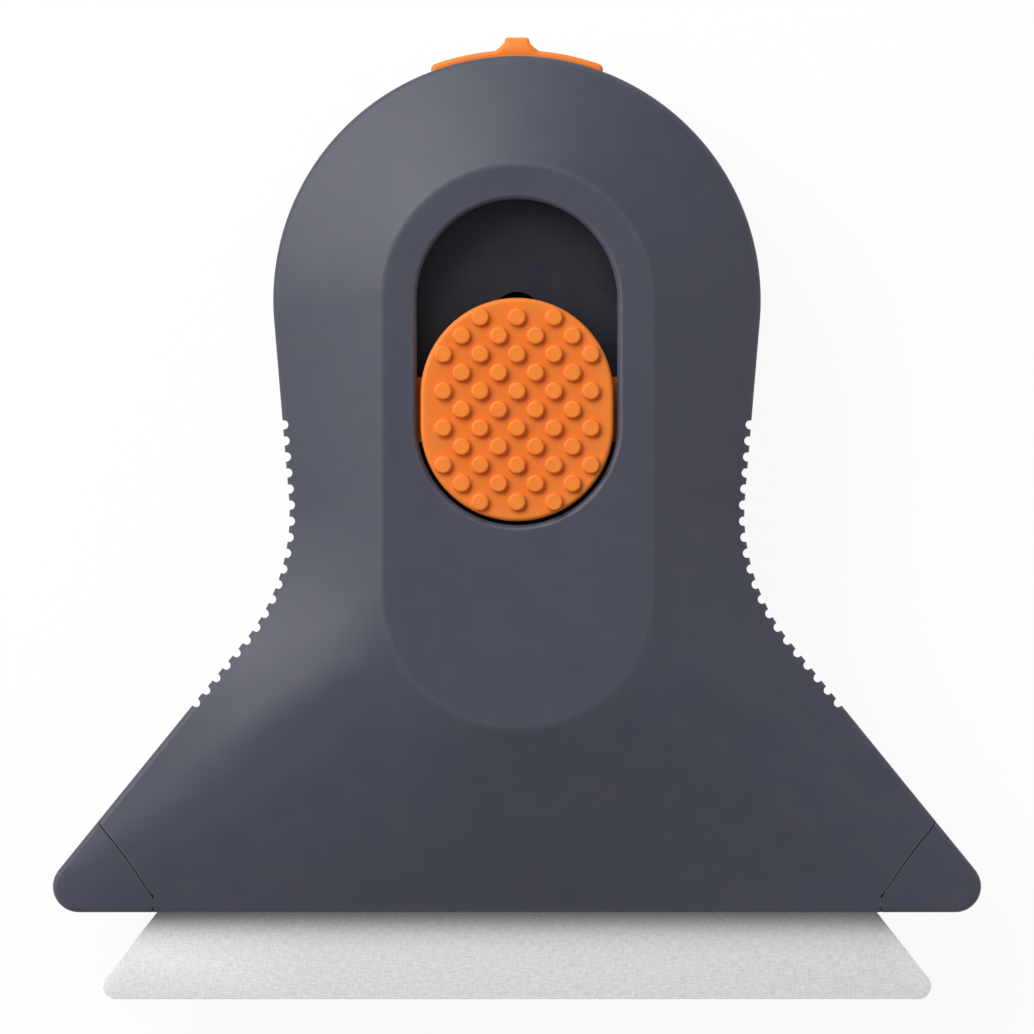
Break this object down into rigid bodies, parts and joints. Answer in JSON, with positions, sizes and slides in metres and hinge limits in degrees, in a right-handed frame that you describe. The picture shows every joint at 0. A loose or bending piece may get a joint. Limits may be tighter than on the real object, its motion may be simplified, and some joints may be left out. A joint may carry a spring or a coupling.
{
  "type": "hand scraper",
  "caption": "Flat palm-sized scraper with a wide blade that slides out of the mouth, a bumpy thumb slide, notched waist grips, a hinged front cover and a crown latch.",
  "frame": {"origin": "middle of the box of the whole tool with its blade out, on the plane of the flat back land", "axes": "+Z out of the front face, +Y from the blade towards the crown latch, +X to the right seen from the front"},
  "size_m": [0.1142, 0.1184, 0.026],
  "materials": {
    "shell": "fine matt moulded",
    "track": "matt moulded",
    "orange": "satin moulded",
    "carrier": "matt moulded",
    "blade": "fine ground",
    "steel": "plain"
  },
  "bodies": {
    "handle": {"back_shell": "shell", "left_guard": "shell", "right_guard": "shell", "track_plate": "track", "latch_pin": "steel", "left_hinge_pin": "steel", "right_hinge_pin": "steel", "left_guard_screw": "steel", "right_guard_screw": "steel", "track_screw_low_left": "steel", "track_screw_low_right": "steel", "track_screw_high_left": "steel", "track_screw_high_right": "steel"},
    "carriage": {"slide_yoke": "orange", "thumb_pad": "orange", "blade_carrier": "carrier", "detent_spring": "steel", "detent_rivet": "steel", "blade": "blade", "left_yoke_screw": "steel", "right_yoke_screw": "steel"},
    "cover": {"front_cover": "shell"},
    "latch": {"latch": "orange", "latch_spring": "steel"}
  },
  "joints": [
    {"name": "blade_slide", "type": "slide", "parent": "handle", "child": "carriage", "axis": [0, 1, 0], "range_m": [0, 0.0114], "deforming": ["detent_spring"]},
    {"name": "cover_hinge", "type": "hinge", "parent": "handle", "child": "cover", "pos_m": [0, -0.047, 0.0148], "axis": [1, 0, 0], "range_deg": [0, 70]},
    {"name": "latch_hinge", "type": "hinge", "parent": "handle", "child": "latch", "pos_m": [0, 0.0531, 0.0095], "axis": [-1, 0, 0], "range_deg": [0, 8], "stiffness_Nm_per_rad": 0.03, "springref_deg": -11.46, "deforming": ["latch_spring"]}
  ]
}
